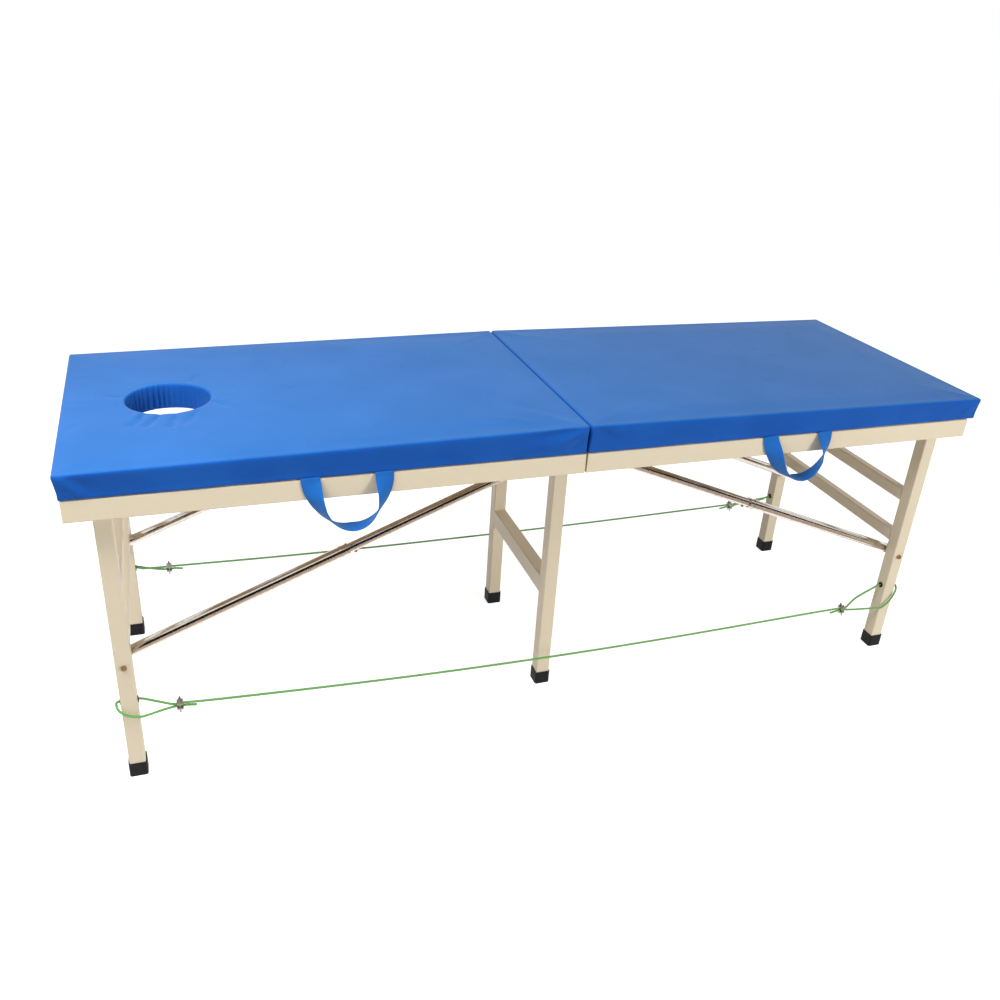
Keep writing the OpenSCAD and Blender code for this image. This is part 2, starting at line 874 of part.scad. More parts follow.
on_left() cover(true);  // left_cover
on_left() foam(true);  // left_foam
on_left() board(true);  // left_board
on_left() on_near() rail(left_rail_s);  // left_near_rail
on_left() rail(left_rail_s);  // left_far_rail
on_left() end_bar();  // left_end_bar
on_left() seam_bar(inner_hinge_y, outer_hinge_y);  // left_seam_bar
handle(-left_handle_s);  // left_handle
on_left() rail_plugs(left_rail_s);  // left_rail_plugs
on_left() frame_screws();  // left_frame_screws
on_left() pivot_bolts();  // left_pivot_bolts
lining();  // face_hole_lining
seam_bolts();
rope(near_route, -leg_y, near_hole_z);  // near_rope
rope(far_route, leg_y, far_hole_z);  // far_rope
rope_clips();
cover(false);  // right_cover
foam(false);  // right_foam
board(false);  // right_board
on_near() rail(right_rail_s);  // right_near_rail
rail(right_rail_s);  // right_far_rail
end_bar();  // right_end_bar
seam_bar(inner_hinge_in_y, outer_hinge_in_y);  // right_seam_bar
handle(right_handle_s);  // right_handle
rail_plugs(right_rail_s);  // right_rail_plugs
frame_screws();  // right_frame_screws
pivot_bolts();  // right_pivot_bolts
on_left() on_near() end_leg(near_hole_z);  // left_near_leg
on_left() end_leg(far_hole_z);  // left_far_leg
on_left() end_crossbar(upper_bar_z);  // left_upper_crossbar
on_left() end_crossbar(lower_bar_z);  // left_lower_crossbar
on_left() leg_caps(leg_s, leg_y);  // left_leg_caps
on_left() strut_bolts();  // left_strut_bolts
on_left() rope_grommets();  // left_rope_grommets
on_near() end_leg(near_hole_z);  // right_near_leg
end_leg(far_hole_z);  // right_far_leg
end_crossbar(upper_bar_z);  // right_upper_crossbar
end_crossbar(lower_bar_z);  // right_lower_crossbar
leg_caps(leg_s, leg_y);  // right_leg_caps
strut_bolts();  // right_strut_bolts
rope_grommets();  // right_rope_grommets
on_near() centre_leg();  // centre_near_leg
centre_leg();  // centre_far_leg
centre_crossbar();
leg_caps(0, centre_y);  // centre_leg_caps
on_left() on_near() strut_outer();  // left_near_strut_outer
on_left() strut_outer();  // left_far_strut_outer
on_near() strut_outer();  // right_near_strut_outer
strut_outer();  // right_far_strut_outer
on_left() on_near() strut_inner();  // left_near_strut_inner
on_left() strut_inner();  // left_far_strut_inner
on_near() strut_inner();  // right_near_strut_inner
strut_inner();  // right_far_strut_inner
on_left() on_near() snap_button();  // left_near_snap_button
on_left() snap_button();  // left_far_snap_button
on_near() snap_button();  // right_near_snap_button
snap_button();  // right_far_snap_button
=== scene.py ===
import json
import math

import bmesh
import bpy
from mathutils import Matrix, Vector, noise

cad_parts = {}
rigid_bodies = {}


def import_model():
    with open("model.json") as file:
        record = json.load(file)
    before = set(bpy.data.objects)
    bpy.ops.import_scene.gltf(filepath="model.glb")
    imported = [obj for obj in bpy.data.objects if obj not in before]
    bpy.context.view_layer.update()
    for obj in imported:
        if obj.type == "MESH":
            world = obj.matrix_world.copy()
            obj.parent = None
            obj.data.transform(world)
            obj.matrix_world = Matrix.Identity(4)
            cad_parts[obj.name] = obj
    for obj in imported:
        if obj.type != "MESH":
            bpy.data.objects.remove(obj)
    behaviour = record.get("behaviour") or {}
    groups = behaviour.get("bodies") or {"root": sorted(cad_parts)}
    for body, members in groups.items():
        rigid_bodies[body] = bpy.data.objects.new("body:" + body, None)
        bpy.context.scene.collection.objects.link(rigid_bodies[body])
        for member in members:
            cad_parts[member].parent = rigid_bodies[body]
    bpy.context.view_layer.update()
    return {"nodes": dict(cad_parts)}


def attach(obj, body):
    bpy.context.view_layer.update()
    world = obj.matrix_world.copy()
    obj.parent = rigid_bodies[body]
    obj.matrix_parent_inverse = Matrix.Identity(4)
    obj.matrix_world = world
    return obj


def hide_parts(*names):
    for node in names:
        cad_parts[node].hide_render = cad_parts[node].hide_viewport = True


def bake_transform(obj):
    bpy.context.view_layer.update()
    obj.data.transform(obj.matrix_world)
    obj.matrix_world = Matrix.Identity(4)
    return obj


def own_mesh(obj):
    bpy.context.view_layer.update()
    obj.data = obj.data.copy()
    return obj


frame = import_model()
nodes = frame["nodes"]
scene = bpy.context.scene
scene.view_settings.view_transform = "Standard"
print("frame loaded:", len(nodes), "nodes")


# The camera, fitted to the table's edges in the photograph
cameraValues = {
    "place": (-0.73501, -1.79586, 1.35394),
    "azimuth": -20.601,
    "elevation": 26.916,
    "roll": 3.705,
    "lens": 34.621,
    "sensorWidth": 36,
    "clip": (0.05, 60),
}


def makeCamera(values):
    data = bpy.data.cameras.new("studioCamera")
    data.lens, data.sensor_width = values["lens"], values["sensorWidth"]
    data.clip_start, data.clip_end = values["clip"]
    camera = bpy.data.objects.new("studioCamera", data)
    scene.collection.objects.link(camera)
    turn, rise = math.radians(values["azimuth"]), math.radians(values["elevation"])
    back = Vector((
        math.sin(turn) * math.cos(rise), -math.cos(turn) * math.cos(rise), math.sin(rise)
    ))
    right = (-back).cross(Vector((0, 0, 1))).normalized()
    up = right.cross(-back)
    roll = math.radians(values["roll"])
    right, up = (
        right * math.cos(roll) + up * math.sin(roll),
        up * math.cos(roll) - right * math.sin(roll),
    )
    axes = Matrix((right, up, back)).transposed().to_4x4()
    camera.matrix_world = Matrix.Translation(values["place"]) @ axes
    scene.camera = camera


makeCamera(cameraValues)
print("camera set")


# Writing materials
class Value:  # one output of a node, which Python's operators can work on
    def __init__(self, finish, socket):
        self.finish, self.socket = finish, socket

    def __add__(self, other):
        return self.finish.math("ADD", self, other)

    def __radd__(self, other):
        return self.finish.math("ADD", other, self)

    def __sub__(self, other):
        return self.finish.math("SUBTRACT", self, other)

    def __rsub__(self, other):
        return self.finish.math("SUBTRACT", other, self)

    def __mul__(self, other):
        return self.finish.math("MULTIPLY", self, other)


class Finish:
    def __init__(self, name, constants):
        self.material = bpy.data.materials.new(name)
        self.material.use_nodes = True
        self.tree = self.material.node_tree
        self.shader = self.tree.nodes["Principled BSDF"]
        for socket, value in constants.items():
            self.shader.inputs[socket].default_value = value

    def node(self, kind, settings=None, inputs=None, output=0):
        made = self.tree.nodes.new("ShaderNode" + kind)
        for key, value in (settings or {}).items():
            setattr(made, key, value)
        for key, value in (inputs or {}).items():
            self.feed(made.inputs[key], value)
        return Value(self, made.outputs[output])

    def feed(self, socket, value):
        if isinstance(value, Value):
            self.tree.links.new(value.socket, socket)
        elif socket.type == "RGBA":
            socket.default_value = (*value[:3], 1)
        else:
            socket.default_value = value

    def math(self, operation, first, second=0.5):
        return self.node("Math", {"operation": operation}, {0: first, 1: second})

    def place(self):  # a point of the piece, in metres
        return self.node("TexCoord", output="Object")

    def strip(self):  # metres along and across a swept piece
        return self.node("UVMap", {"uv_map": "strip"})

    def part(self, vector, axis):
        return self.node("SeparateXYZ", None, {0: vector}, axis)

    def scaled(self, vector, size):
        return self.node("Mapping", {"vector_type": "POINT"}, {"Vector": vector, "Scale": size})

    def noise(self, vector, scale, detail=2, roughness=0.5):
        return self.node("TexNoise", {"noise_dimensions": "3D"}, {
            "Vector": vector, "Scale": scale, "Detail": detail, "Roughness": roughness,
        })

    def cells(self, vector, scale):
        return self.node("TexVoronoi", {"feature": "F1"}, {"Vector": vector, "Scale": scale})

    def band(self, value, low, high):  # 0 below low, 1 above high
        return self.node("MapRange", {"interpolation_type": "SMOOTHSTEP"}, {
            "Value": value, "From Min": low, "From Max": high,
        })

    def mix(self, share, first, second):
        made = self.tree.nodes.new("ShaderNodeMix")
        made.data_type = "RGBA"
        self.feed(made.inputs[0], share)
        self.feed(made.inputs[6], first)
        self.feed(made.inputs[7], second)
        return Value(self, made.outputs[2])

    def bump(self, height, distance, strength=1.0, under=None):
        inputs = {"Height": height, "Distance": distance, "Strength": strength}
        if under:
            inputs["Normal"] = under
        return self.node("Bump", None, inputs)

    def set(self, **values):
        for key, value in values.items():
            socket = {"colour": "Base Color", "roughness": "Roughness", "normal": "Normal",
                      "coat": "Coat Weight"}[key]
            self.feed(self.shader.inputs[socket], value)
        return self.material


vinylValues = {
    # top: paler colours for upward faces, painted light standing in for light from above
    "top": [(0.022, 0.131, 0.415), (0.028, 0.144, 0.450)],
    "side": [(0.010, 0.088, 0.395), (0.012, 0.104, 0.440)],
    "sheen": (0.35, 1, 0.75, 1),
    "grain": 1500,
}


def vinyl(values):
    f = Finish("blueVinyl", {"Specular IOR Level": 0.08, "Sheen Weight": 0.04,
                             "Sheen Roughness": 0.4, "Sheen Tint": values["sheen"]})
    place = f.place()
    cloud = f.band(f.noise(place, 7, 3), 0.3, 0.7)
    # painted light: mask of upward faces, which get the paler top colours
    up = f.band(f.part(f.node("TexCoord", None, None, "Normal"), 2), 0.45, 0.95)
    top, side = f.mix(cloud, *values["top"]), f.mix(cloud, *values["side"])
    grain = f.cells(place, values["grain"])
    pores = f.noise(place, values["grain"] * 1.6, 1)
    creases = f.noise(f.scaled(place, (1, 1.7, 1)), 55, 4, 0.6)
    rub = f.band(f.noise(place, 23, 5, 0.7), 0.56, 0.74)
    height = grain * 0.7 + pores * 0.3
    return f.set(
        colour=f.mix(up, side, top),  # painted light: upward faces are painted paler than the sides, as if lit from above
        roughness=0.44 + rub * 0.07 - grain * 0.05,
        normal=f.bump(height, 0.00012, 0.5, f.bump(creases, 0.0006, 0.35)),
    )


paintValues = {
    "cream": (0.760, 0.668, 0.500),
    "warm": (0.735, 0.632, 0.455),
    "dust": (0.5, 0.42, 0.3),
    "dustyUpTo": (0.03, 0.22),
}


def creamPaint(values):
    f = Finish("creamPaint", {"Specular IOR Level": 0.35, "Coat Roughness": 0.25})
    place = f.place()
    peel = f.noise(place, 620, 2)
    cloud = f.noise(place, 6, 3)
    scuff = f.band(f.noise(f.scaled(place, (1, 1, 0.35)), 140, 4, 0.65), 0.66, 0.72)
    low = 1 - f.band(f.part(place, 2), *values["dustyUpTo"])
    paint = f.mix(cloud, values["cream"], values["warm"])
    return f.set(
        colour=f.mix(low * 0.35 * scuff, paint, values["dust"]),
        roughness=0.34 + cloud * 0.08 + scuff * 0.1,
        coat=0.12 - scuff * 0.1,
        normal=f.bump(peel, 0.0002, 0.35),
    )


chromeValues = {
    "plating": (0.74, 0.70, 0.65),
    "stain": (0.60, 0.52, 0.43),
    "streaks": (3, 700, 700),
    "slopes": {"left": -21.94, "right": 21.94},
}


def chrome(values, half):  # the drawn streaks run along the tubes, which slope
    f = Finish(f"{half}Chrome", {"Metallic": 1.0})
    place = f.place()
    level = f.node("Mapping", {"vector_type": "POINT"}, {
        "Vector": place, "Rotation": (0, math.radians(values["slopes"][half]), 0),
    })
    lines = f.noise(f.scaled(level, values["streaks"]), 1, 3, 0.6)
    spots = f.noise(place, 90, 4, 0.7)
    return f.set(
        colour=f.mix(f.band(spots, 0.45, 0.75), values["plating"], values["stain"]),
        roughness=0.10 + f.band(lines, 0.4, 0.8) * 0.12 + f.band(spots, 0.55, 0.75) * 0.12,
        normal=f.bump(lines, 0.00006, 0.3),
    )


zincValues = {
    "boltZinc": {"colour": (0.46, 0.35, 0.20), "roughness": 0.32},
    "clipZinc": {"colour": (0.42, 0.40, 0.37), "roughness": 0.34},
}


def zinc(name, colour, roughness):
    f = Finish(name, {"Metallic": 1.0})
    place = f.place()
    flakes = f.cells(place, 900)
    stains = f.noise(place, 260, 4, 0.7)
    dark = [c * 0.45 for c in colour]
    return f.set(
        colour=f.mix(f.band(stains, 0.5, 0.75), colour, dark),
        roughness=roughness + flakes * 0.12 + stains * 0.12,
        normal=f.bump(stains, 0.00008, 0.4),
    )


rubberValues = {
    "capRubber": {"colour": (0.004, 0.004, 0.005), "roughness": 0.6},
    # plug plastic: beige, painted lighter than its own tone as painted light in the shaded seam
    # gap
    "plugPlastic": {"colour": (0.80, 0.70, 0.52), "roughness": 0.42},
}


def rubber(name, colour, roughness):
    f = Finish(name, {"Specular IOR Level": 0.25})
    place = f.place()
    dust = f.noise(place, 180, 5, 0.7)
    pits = f.noise(place, 1400, 2)
    dusty = [c + 0.02 for c in colour]
    return f.set(
        colour=f.mix(f.band(dust, 0.5, 0.8), colour, dusty),
        roughness=roughness + dust * 0.12,
        normal=f.bump(pits, 0.00015, 0.4),
    )


plywoodValues = {
    "early": (0.56, 0.36, 0.19),
    "late": (0.66, 0.46, 0.27),
    "pores": (0.36, 0.21, 0.10),
    "grain": (6, 90, 90),
    "rings": (1.2, 9, 9),
    "fibres": (40, 900, 900),
}


def plywood(values):
    f = Finish("plywood", {"Specular IOR Level": 0.3})
    place = f.place()
    grain = f.noise(f.scaled(place, values["grain"]), 1, 6, 0.6)
    rings = f.noise(f.scaled(place, values["rings"]), 1, 3, 0.5)
    fibres = f.noise(f.scaled(place, values["fibres"]), 1, 2)
    wood = f.mix(f.band(rings, 0.35, 0.65), values["early"], values["late"])
    return f.set(
        colour=f.mix(f.band(grain, 0.52, 0.7) * 0.6, wood, values["pores"]),
        roughness=0.62 + fibres * 0.15,
        normal=f.bump(fibres, 0.0002, 0.5),
    )


webbingValues = {
    "colour": (0.016, 0.165, 0.560),
    "shade": (0.010, 0.105, 0.400),
    "sheen": (0.35, 1, 0.75, 1),
    "rib": 0.0016,
}


def webbing(values):
    f = Finish("strapWebbing", {"Specular IOR Level": 0.25, "Sheen Weight": 0.1,
                                "Sheen Roughness": 0.35, "Sheen Tint": values["sheen"]})
    strip = f.strip()
    along, across = f.part(strip, 0), f.part(strip, 1)
    turn = 2 * math.pi / values["rib"]
    warp = f.math("SINE", along * turn) * 0.5 + 0.5
    weft = f.math("SINE", across * turn * 1.4) * 0.5 + 0.5
    weave = warp * 0.55 + weft * 0.45
    worn = f.noise(f.place(), 60, 4, 0.6)
    return f.set(
        colour=f.mix(weave * 0.6 + worn * 0.4, values["shade"], values["colour"]),
        roughness=0.5 + worn * 0.15,
        normal=f.bump(weave, 0.0003, 0.6),
    )


sheathValues = {
    "shade": (0.07, 0.34, 0.045),
    # colour: the lighter green of the thread stripes, a painted highlight on the strands
    "colour": (0.20, 0.47, 0.13),
    "threads": (2600, 1900),
}


def ropeSheath(values):
    f = Finish("ropeSheath", {"Specular IOR Level": 0.5, "Coat Roughness": 0.08,
                              "Coat Weight": 0.6})
    strip = f.strip()
    along, across = f.part(strip, 0), f.part(strip, 1)
    turns = along * values["threads"][0] + across * values["threads"][1]
    threads = f.math("SINE", turns) * 0.5 + 0.5
    worn = f.noise(f.place(), 110, 3, 0.6)
    return f.set(
        # real thread stripes and random wear; their lighter colour is a painted highlight on the
        # strands
        colour=f.mix(threads * 0.5 + worn * 0.5, values["shade"], values["colour"]),
        roughness=0.32 + worn * 0.15,
        normal=f.bump(threads, 0.0002, 0.5),
    )


blueVinyl = vinyl(vinylValues)
cream = creamPaint(paintValues)
tubeChromes = {half: chrome(chromeValues, half) for half in ("left", "right")}
boltZinc, clipZinc = (zinc(name, **values) for name, values in zincValues.items())
capRubber, plugPlastic = (rubber(name, **values) for name, values in rubberValues.items())
boardPly = plywood(plywoodValues)
strapWeb = webbing(webbingValues)
ropeGreen = ropeSheath(sheathValues)
print("materials written")

finishOf = {
    "rail_plugs": plugPlastic, "rail": cream, "bar": cream, "leg_caps": capRubber,
    "grommets": capRubber, "crossbar": cream, "leg": cream, "strut_bolts": boltZinc,
    "screws": boltZinc, "bolts": boltZinc, "left_near_strut": tubeChromes["left"],
    "left_far_strut": tubeChromes["left"], "right_near_strut": tubeChromes["right"],
    "right_far_strut": tubeChromes["right"], "snap_button": clipZinc, "board": boardPly,
    "foam": boardPly, "cover": blueVinyl, "handle": strapWeb, "lining": blueVinyl,
    "rope_clips": clipZinc, "rope": ropeGreen,
}
for name, node in nodes.items():
    key = max((k for k in finishOf if k in name), key=len)
    node.data.materials.clear()
    node.data.materials.append(finishOf[key])


# Tools for building pieces
def addPiece(name, mesh, material, smooth=True):
    piece = bpy.data.objects.new(name, mesh)
    scene.collection.objects.link(piece)
    mesh.materials.append(material)
    mesh.shade_smooth() if smooth else mesh.shade_flat()
    return piece


def meshOf(bm, name):
    bmesh.ops.recalc_face_normals(bm, faces=bm.faces)
    mesh = bpy.data.meshes.new(name)
    bm.to_mesh(mesh)
    bm.free()
    return mesh


def smoothPath(points, spacing):  # a curve through given points, in short even steps
    points = [Vector(p) for p in points]
    ends = [2 * points[0] - points[1], *points, 2 * points[-1] - points[-2]]
    path = []
    for a, b, c, d in zip(ends, ends[1:], ends[2:], ends[3:]):
        steps = max(2, round((c - b).length / spacing))
        for i in range(steps):
            t = i / steps
            path.append(0.5 * (
                2 * b + (c - a) * t + (2 * a - 5 * b + 4 * c - d) * t * t
                + (3 * b - a - 3 * c + d) * t * t * t
            ))
    return path + [points[-1]]


def sweep(name, rings, alongs, arounds):
    # A closed skin over rings of points, with metres along and across as its own map
    bm = bmesh.new()
    layer = bm.loops.layers.uv.new("strip")
    rows = [[bm.verts.new(p) for p in ring] for ring in rings]
    count = len(rings[0])
    for i, (low, high) in enumerate(zip(rows, rows[1:])):
        for k in range(count):
            n = (k + 1) % count
            face = bm.faces.new((low[k], low[n], high[n], high[k]))
            for loop, (u, v) in zip(face.loops, (
                (i, k), (i, k + 1), (i + 1, k + 1), (i + 1, k)
            )):
                loop[layer].uv = (alongs[u], arounds[v])
    for row, place in ((rows[0], alongs[0]), (rows[-1], alongs[-1])):
        face = bm.faces.new(row)
        for loop in face.loops:
            loop[layer].uv = (place, 0)
    return meshOf(bm, name)


# The two ropes that tie the end frames together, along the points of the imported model
ropeValues = {
    "diameter": 0.005,
    "lane": 0.241,
    "strandPitch": 0.0064,
    "clipWidth": 0.012,
    "legX": 0.862,
    "wrap": 0.020,
    "nearHole": 0.170,
    "farHole": 0.172,
    "tail": 0.024,
    "spacing": 0.0024,
    "sides": 18,
    "strands": 3,
    "core": 0.74,
    "twistLength": 0.026,
    "nearRoute": [
        (-0.768, 0.145), (-0.720, 0.141), (-0.620, 0.135), (-0.500, 0.1285), (-0.370, 0.1225),
        (-0.230, 0.1175), (-0.080, 0.114), (0.080, 0.112), (0.240, 0.112), (0.400, 0.1135),
        (0.550, 0.116), (0.670, 0.118), (0.740, 0.1185),
    ],
    "farRoute": [
        (-0.769, 0.166), (-0.690, 0.1635), (-0.560, 0.1595), (-0.420, 0.1565), (-0.260, 0.154),
        (-0.090, 0.153), (0.080, 0.1525), (0.240, 0.153), (0.400, 0.1545), (0.540, 0.1565),
        (0.650, 0.158), (0.711, 0.159),
    ],
    "stowZ": 0.606,
    "stowShare": 0.06,
}


def ropeLoop(values, clip, way, side, hole):
    # From the free tail through the clip, round the leg, through it and back to the clip. The
    # offsets follow the loops in the photograph
    x, z = clip
    y, leg, pitch = side * values["lane"], values["legX"], values["strandPitch"]
    width, wrap = values["clipWidth"], values["wrap"]
    return [
        (x - way * values["tail"], y, z - pitch - 0.003),
        (x - way * 0.012, y, z - pitch - 0.001),
        (x - way * 0.004, y, z - pitch),
        (x + way * (width + 0.004), y, z - pitch),
        (x + way * 0.038, y + side * 0.006, z - pitch + 0.001),
        (way * (leg - 0.032), y + side * 0.015, z - 0.004),
        (way * (leg - 0.015), y + side * wrap, z - 0.002),
        (way * (leg + 0.006), y + side * (wrap + 0.001), (z + hole) / 2 - 0.006),
        (way * (leg + 0.019), y + side * 0.016, hole - 0.009),
        (way * (leg + 0.023), y + side * 0.006, hole - 0.002),
        (way * (leg + 0.020), y, hole),
        (way * (leg + 0.008), y, hole),
        (way * (leg - 0.018), y, hole),
        (way * (leg - 0.030), y, hole - 0.004),
        (x + way * 0.042, y, (z + hole) / 2 - 0.002),
        (x + way * (width + 0.006), y, z),
    ]


def ropeSkin(values, path, start, name):
    # Strands laid round each other
    radius, rings, alongs, along = values["diameter"] / 2, [], [], start
    side = Vector((0, 0, 1)).cross(path[1] - path[0]).normalized()
    count, core = values["sides"], values["core"]
    for i, point in enumerate(path):
        way = (path[min(i + 1, len(path) - 1)] - path[max(i - 1, 0)]).normalized()
        side = (side - way * side.dot(way)).normalized()
        up = way.cross(side)
        if i:
            along += (point - path[i - 1]).length
        lay = 2 * math.pi * along / values["twistLength"]
        ring = []
        for k in range(count):
            angle = 2 * math.pi * k / count
            lobe = abs(math.cos(values["strands"] / 2 * (angle - lay)))
            reach = radius * (core + (1 - core) * lobe ** 0.7)
            ring.append(point + (side * math.cos(angle) + up * math.sin(angle)) * reach)
        rings.append(ring)
        alongs.append(along)
    arounds = [k * 2 * math.pi * radius / count for k in range(count + 1)]
    return sweep(name, rings, alongs, arounds), along


def makeRope(values, row, side, route, hole):
    first, last = route[0], route[-1]
    points = (
        ropeLoop(values, first, -1, side, hole)
        + [(x, side * values["lane"], z) for x, z in route]
        + ropeLoop(values, last, 1, side, hole)[::-1]
    )
    path = smoothPath(points, values["spacing"])
    middle = next(i for i, p in enumerate(path) if p.x > 0 and abs(p.x) < 0.01)
    seam = path[middle - 1].lerp(
        path[middle], -path[middle - 1].x / (path[middle].x - path[middle - 1].x)
    )
    halves = (("left", path[:middle] + [seam]), ("right", [seam] + path[middle:]))
    start, ropes = 0, []
    for half, line in halves:
        name = f"{row}_rope_{half}"
        mesh, start = ropeSkin(values, line, start, name)
        ropes.append((half, addPiece(name, mesh, ropeGreen), line))
    return ropes


def stow(piece, half):  # the piece rides on its half of the table, with a mesh of its own
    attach(piece, f"{half}_half")
    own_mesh(piece)


ropes = {
    "near": makeRope(ropeValues, "near", -1, ropeValues["nearRoute"], ropeValues["nearHole"]),
    "far": makeRope(ropeValues, "far", 1, ropeValues["farRoute"], ropeValues["farHole"]),
}


# The clips: a grooved saddle, a bow whose two legs are threaded, and their nuts
clipValues = {
    "bowWire": 0.003,
    "wireSides": 20,
    "wall": 0.002,
    "lip": 0.0046,
    "saddleEdge": 0.0009,
    "stud": 0.007,
    "threads": 8,
    "threadPitch": 0.00048,
    "threadGap": 0.0004,
    "threadDepth": 0.00016,
    "threadWidth": 0.0002,
    "nut": 0.003,
    "nutEdge": 0.0003,
}


def makeRod(bm, centre, sides, radius, depth):
    rod = bmesh.ops.create_cone(bm, segments=sides, cap_ends=True, radius1=radius,
                                radius2=radius, depth=depth)["verts"]
    bmesh.ops.translate(bm, vec=centre, verts=rod)
    return rod


def roundEdges(bm, verts, offset, segments):
    edges = [e for e in bm.edges if e.verts[0] in verts and e.verts[1] in verts]
    bmesh.ops.bevel(bm, geom=edges, offset=offset, segments=segments, profile=0.5,
                    affect="EDGES", material=-1)


def makeClip(bm, values, rope, start, way, side):
    x = start[0] + way * rope["clipWidth"] / 2
    wire, wall, lip, nut = (values[k] for k in ("bowWire", "wall", "lip", "nut"))
    sides, threadRadius = values["wireSides"], wire / 2 + values["threadDepth"]
    centre = Vector((x, side * rope["lane"], start[1] - rope["strandPitch"] / 2))
    wide = rope["diameter"] + 2 * wire + 2 * wall
    legY = rope["diameter"] / 2 + wire / 2 + wall / 2
    high = rope["strandPitch"] + rope["diameter"] + 2 * wall
    for z in (high / 2 - lip / 2, -high / 2 + lip / 2):
        saddle = bmesh.ops.create_cube(bm, size=1)["verts"]
        bmesh.ops.scale(bm, vec=(rope["clipWidth"], wide, lip), verts=saddle)
        bmesh.ops.translate(bm, vec=centre + Vector((0, 0, z)), verts=saddle)
        roundEdges(bm, saddle, values["saddleEdge"], 3)
    for end in (-1, 1):
        foot = centre + Vector((0, end * legY, 0))
        makeRod(bm, foot, sides, wire / 2, high + 2 * values["stud"])
        for thread in range(values["threads"]):
            z = high / 2 + nut + values["threadGap"] + thread * values["threadPitch"]
            place = foot + Vector((0, 0, z))
            makeRod(bm, place, sides, threadRadius, values["threadWidth"])
        hexagon = makeRod(bm, foot + Vector((0, 0, high / 2 + nut / 2)), 6, wire, nut)
        roundEdges(bm, hexagon, values["nutEdge"], 2)


for row, found in ropes.items():
    for half, piece, line in found:
        isLeft, route = half == "left", ropeValues[f"{row}Route"]
        bm = bmesh.new()
        makeClip(bm, clipValues, ropeValues, route[0] if isLeft else route[-1],
                 -1 if isLeft else 1, -1 if row == "near" else 1)
        name = f"{row}_clip_{half}"
        clip = addPiece(name, meshOf(bm, name), clipZinc, False)
        stow(clip, half)
        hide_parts("rope_clips")
        length = sum((b - a).length for a, b in zip(line, line[1:]))
        stow(piece, half)
        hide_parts(f"{row}_rope")
        print(piece.name, "is", round(length, 3), "m long")


# The two pads: foam under drawn cloth, swollen by a short cloth simulation. The left one's
# cloth rolls into the face hole and is gathered down its wall
padValues = {
    "length": 0.9236,
    "width": 0.600,
    "seamGap": 0.0020,
    "bottom": 0.6180,
    "top": 0.6672,
    "seamRise": 0.0100,
    "cornerRadius": 0.0035,
    "edgeRadius": 0.0052,
    "seamRadius": 0.0045,
    "rimWidth": 0.014,
    "sideDraw": 0.0048,
    "hemLift": 0.0024,
    "endDraw": {"left": 0.0062, "right": 0.0040},
    "drawHeight": 0.045,
    "swellTop": 0.0022,
    "swellSide": 0.0010,
    "swellReach": 0.060,
    "voxel": 0.0066,
    "boardInset": 0.034,
    "boardZ": 0.6206,
    "holeX": -0.738,
    "holeRadius": 0.0835,
    "holeRoll": 0.0058,
    "holeReach": 0.060,
    "holeHeld": (0.004, 0.055),
    "holeLift": 0.0018,
    "rimReach": 0.045,
    "edgeReach": 0.050,
    "edgeHeld": (0.003, 0.016),
    "finerHole": (0.112, 0.101),
    "quickLift": 0.0035,
}
clothValues = {
    "pressure": 4,
    "quality": 5,
    "tension": 12,
    "bending": 0.6,
    "frames": 20,
    "heldHeight": 0.008,
    "wallReach": 0.004,
    "freeDepth": 0.012,
}


def soft(value, low, high):  # 0 below low, 1 above high, smooth between
    t = min(1, max(0, (value - low) / (high - low)))
    return t * t * (3 - 2 * t)


def fromOutline(values, p, middle):
    # How far a point lies inside the pad's outline, corners included, and the way out
    radius = values["cornerRadius"]
    dx = values["length"] / 2 - radius - abs(p.x - middle)
    dy = values["width"] / 2 - radius - abs(p.y)
    sx, sy = math.copysign(1, p.x - middle), math.copysign(1, p.y)
    if dx < 0 and dy < 0:
        reach = math.hypot(dx, dy)
        return radius - reach, Vector((-dx / reach * sx, -dy / reach * sy, 0))
    return radius + min(dx, dy), Vector((sx, 0, 0)) if dx < dy else Vector((0, sy, 0))


def rollOver(along, radius):
    # A sharp edge made round: a place along the skin, above 0 on top and below 0 on the wall,
    # becomes a distance in from the wall and a drop from the top
    if along >= radius:
        return along, 0
    if along <= -radius:
        return 0, -along
    angle = math.pi / 2 * (radius - along) / (2 * radius)
    return radius - radius * math.sin(angle), radius - radius * math.cos(angle)


